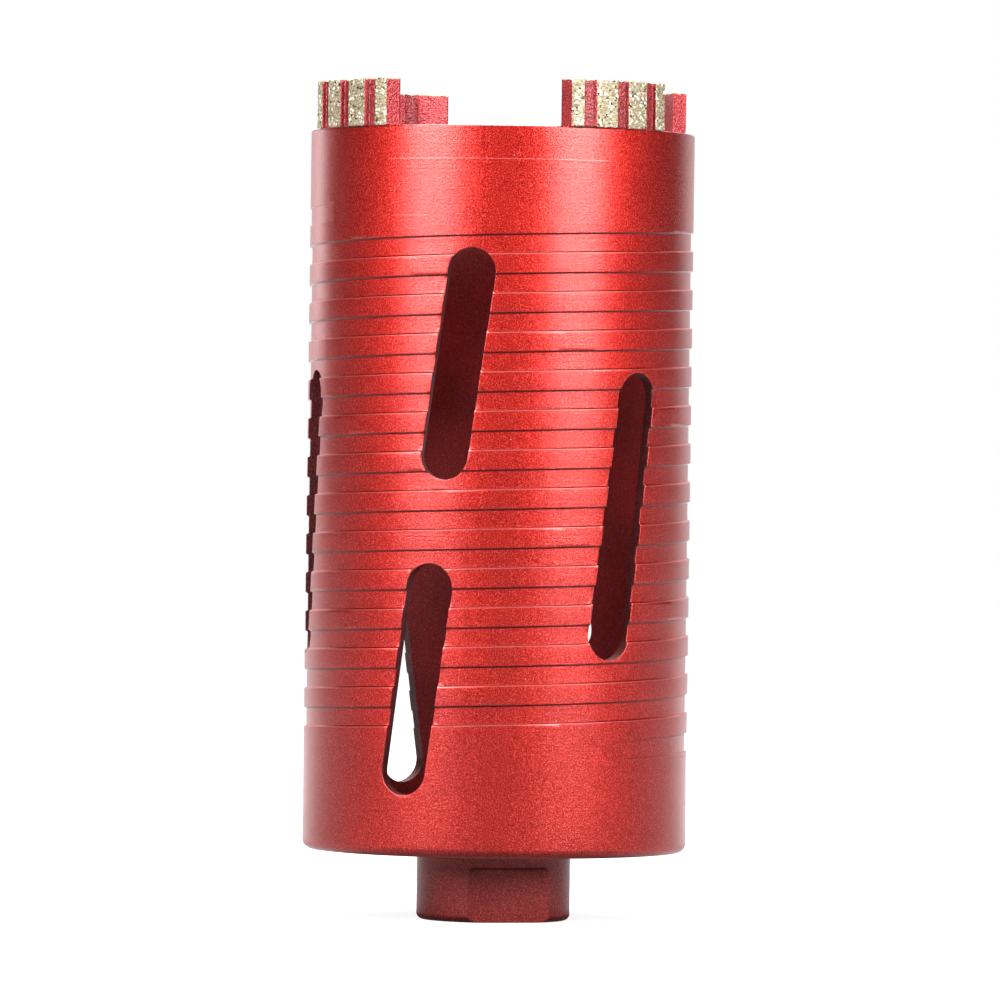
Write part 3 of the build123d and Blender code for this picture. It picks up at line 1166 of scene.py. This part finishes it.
def paleFloor():
    # Matt board that reads as the white background: evenly white away from the object, and beside
    # it just short of white, so that the shadow stays.
    s = studioSet
    material, tree = newMaterial("matt_white_board")
    paths = addNode(tree, "LightPath").outputs
    place = addNode(tree, "TexCoord").outputs["Object"]
    away = addNode(tree, "VectorMath", {"operation": "LENGTH", "Vector": place})
    reach = {"Value": away, "From Min": s["shadowReach"], "From Max": s["whiteFrom"]}
    far = addNode(tree, "MapRange", reach)
    near = addNode(tree, "MapRange", {**reach, "To Min": s["nearWhite"], "To Max": 0.0})
    depth = addNode(tree, "SeparateXYZ", {"Vector": place}).outputs["Y"]
    front, back = s["mirrorFade"]
    mirrored = addNode(tree, "MapRange", {
        "Value": depth, "From Min": front, "From Max": back,
        "To Min": s["mirroredFront"], "To Max": s["mirroredWhite"]})
    near = addNode(tree, "Math", {"operation": "MULTIPLY", 0: near, 1: paths["Is Camera Ray"]})
    level = addNode(tree, "Math", {
        "operation": "MULTIPLY_ADD", 0: far, 1: seenWhite(tree, paths, mirrored), 2: near})
    board = addNode(tree, "BsdfDiffuse", {"Color": linear(s["floorColour"])})
    white = addNode(tree, "Emission", {"Color": linear("#ffffff"), "Strength": level})
    both = addNode(tree, "AddShader", {0: board, 1: white})
    addNode(tree, "OutputMaterial", {"Surface": both})
    half = s["floorSize"] / 2
    corners = [(-half, -half, 0), (half, -half, 0), (half, half, 0), (-half, half, 0)]
    stageSheet("floor_board", corners, [(0, 1, 2, 3)], material)


def backdrop():
    # Rolled white paper, lit evenly from behind the object.
    s = studioSet
    material, tree = newMaterial("lit_white_paper")
    seen = seenWhite(tree, addNode(tree, "LightPath").outputs, s["mirroredWhite"])
    level = addNode(tree, "MapRange", {"Value": seen, "To Min": s["paperGlow"]})
    white = addNode(tree, "Emission", {"Color": linear("#ffffff"), "Strength": level})
    addNode(tree, "OutputMaterial", {"Surface": white})
    points, faces = [], []
    folds = s["backdropFolds"]
    for i in range(folds + 1):
        a = radians(180 - s["backdropSpread"] + 2 * s["backdropSpread"] * i / folds)
        x, y = s["backdropFar"] * sin(a), -s["backdropFar"] * cos(a)
        points += [(x, y, 0.001), (x, y, s["backdropHigh"])]
    for i in range(folds):
        faces.append((2 * i, 2 * i + 2, 2 * i + 3, 2 * i + 1))
    stageSheet("backdrop_paper", points, faces, material)


def buildLamps():
    target = Vector((0, 0, (footHeight + rimHeight) / 2 * mm))
    for name, (azimuth, height, distance, wide, high, strength) in studioSet["lamps"].items():
        data = bpy.data.lights.new(name, "AREA")
        data.shape = "RECTANGLE"
        data.size = wide
        data.size_y = high
        data.energy = strength
        lamp = bpy.data.objects.new(name, data)
        bpy.context.scene.collection.objects.link(lamp)
        place = around(azimuth, distance / mm, height / mm)
        aim = (target - place).to_track_quat("-Z", "Y").to_matrix().to_4x4()
        lamp.matrix_world = Matrix.Translation(place) @ aim


def buildWorld():
    world = bpy.data.worlds.new("studio_room")
    bpy.context.scene.world = world
    world.use_nodes = True
    tree = world.node_tree
    tree.nodes.clear()
    paths = addNode(tree, "LightPath").outputs
    seen = addNode(tree, "Math", {
        "operation": "MAXIMUM", 0: paths["Is Camera Ray"], 1: paths["Is Transmission Ray"]})
    level = addNode(tree, "MapRange", {"Value": seen, "To Min": studioSet["worldGrey"]})
    room = addNode(tree, "Background", {"Color": linear("#ffffff"), "Strength": level})
    addNode(tree, "OutputWorld", {"Surface": room})


buildCamera()
paleFloor()
backdrop()
buildLamps()
buildWorld()
bpy.context.scene.view_settings.view_transform = "Standard"
print("studio set")
